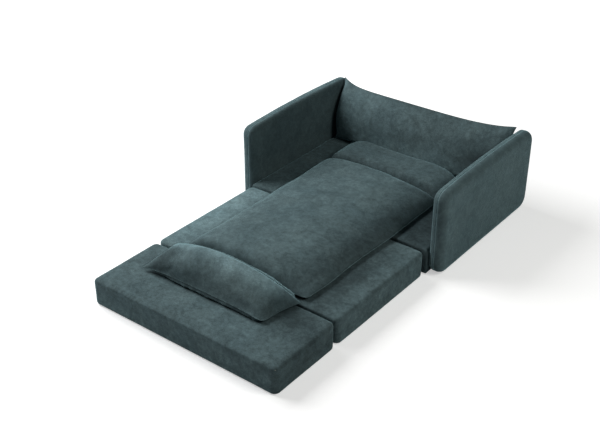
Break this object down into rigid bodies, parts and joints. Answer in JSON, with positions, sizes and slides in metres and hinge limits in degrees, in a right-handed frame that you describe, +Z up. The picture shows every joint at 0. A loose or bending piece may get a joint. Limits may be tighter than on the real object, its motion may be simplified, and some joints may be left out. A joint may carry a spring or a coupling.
{
  "type": "single sofa bed",
  "caption": "Unfolded single sofa bed in teal velvet: low upholstered sections, rounded slab arms, mattress topper, bolster pillows and a leaning back cushion.",
  "frame": {"origin": "centre of the bounding box on the floor", "axes": "+Z up, the foot of the bed faces -Y, +Y along the bed to its back, +X across the bed"},
  "size_m": [1.32, 2.177, 0.5062],
  "materials": {
    "upholstery": "velvet",
    "cushion_fabric": "velvet",
    "foam": "open cell foam",
    "dust_cloth": "non-woven",
    "board_wood": "raw plywood",
    "glide_plastic": "matte",
    "zinc_steel": "zinc plated"
  },
  "bodies": {
    "base": {"base_cover": "upholstery", "base_foam": "foam", "base_deck": "board_wood", "base_dust_cloth": "dust_cloth", "base_side_rail_right": "board_wood", "base_side_rail_left": "board_wood", "base_front_rail": "board_wood", "base_rear_rail": "board_wood", "base_cross_rail": "board_wood", "arm_inner_pad_right": "upholstery", "arm_core_right": "board_wood", "arm_outer_pad_right": "upholstery", "arm_inner_pad_left": "upholstery", "arm_core_left": "board_wood", "arm_outer_pad_left": "upholstery", "back_front_pad": "upholstery", "back_core": "board_wood", "back_rear_pad": "upholstery", "floor_glides": "glide_plastic", "joining_straps": "zinc_steel", "seat_hinge_lower_leaves": "zinc_steel"},
    "seat_section": {"seat_cover": "upholstery", "seat_top_foam": "foam", "seat_board": "board_wood", "seat_bottom_foam": "foam", "seat_hinge_upper_leaves": "zinc_steel", "foot_hinge_rear_leaves": "zinc_steel"},
    "foot_section": {"foot_cover": "upholstery", "foot_top_foam": "foam", "foot_board": "board_wood", "foot_bottom_foam": "foam", "foot_hinge_front_leaves": "zinc_steel"},
    "loose_topper": {"topper": "cushion_fabric"},
    "loose_head_pillow": {"head_pillow": "cushion_fabric"},
    "loose_foot_pillow": {"foot_pillow": "cushion_fabric"},
    "loose_back_cushion": {"back_cushion": "cushion_fabric"}
  },
  "joints": [
    {"name": "seat_fold", "type": "hinge", "parent": "base", "child": "seat_section", "pos_m": [0, 0.1175, 0.1495], "axis": [-1, 0, 0], "range_deg": [0, 180]},
    {"name": "foot_fold", "type": "hinge", "parent": "seat_section", "child": "foot_section", "pos_m": [0, -0.6425, 0.007], "axis": [1, 0, 0], "range_deg": [0, 90]},
    {"name": "topper_lift", "type": "slide", "parent": "base", "child": "loose_topper", "axis": [0, 0, 1], "range_m": [0, 3.15]},
    {"name": "foot_pillow_lift", "type": "slide", "parent": "base", "child": "loose_foot_pillow", "axis": [0, 0, 1], "range_m": [0, 3.15]},
    {"name": "head_pillow_lift", "type": "slide", "parent": "base", "child": "loose_head_pillow", "axis": [0, 0, 1], "range_m": [0, 1.9]},
    {"name": "back_cushion_lift", "type": "slide", "parent": "base", "child": "loose_back_cushion", "axis": [0, 0, 1], "range_m": [0, 1.9]}
  ],
  "couplings": [
    {"joint": "foot_fold", "follows": "seat_fold", "ratio": 0.5},
    {"joint": "topper_lift", "follows": "seat_fold", "m_per_rad": 1},
    {"joint": "foot_pillow_lift", "follows": "seat_fold", "m_per_rad": 1},
    {"joint": "head_pillow_lift", "follows": "seat_fold", "m_per_rad": 0.6},
    {"joint": "back_cushion_lift", "follows": "seat_fold", "m_per_rad": 0.6}
  ]
}
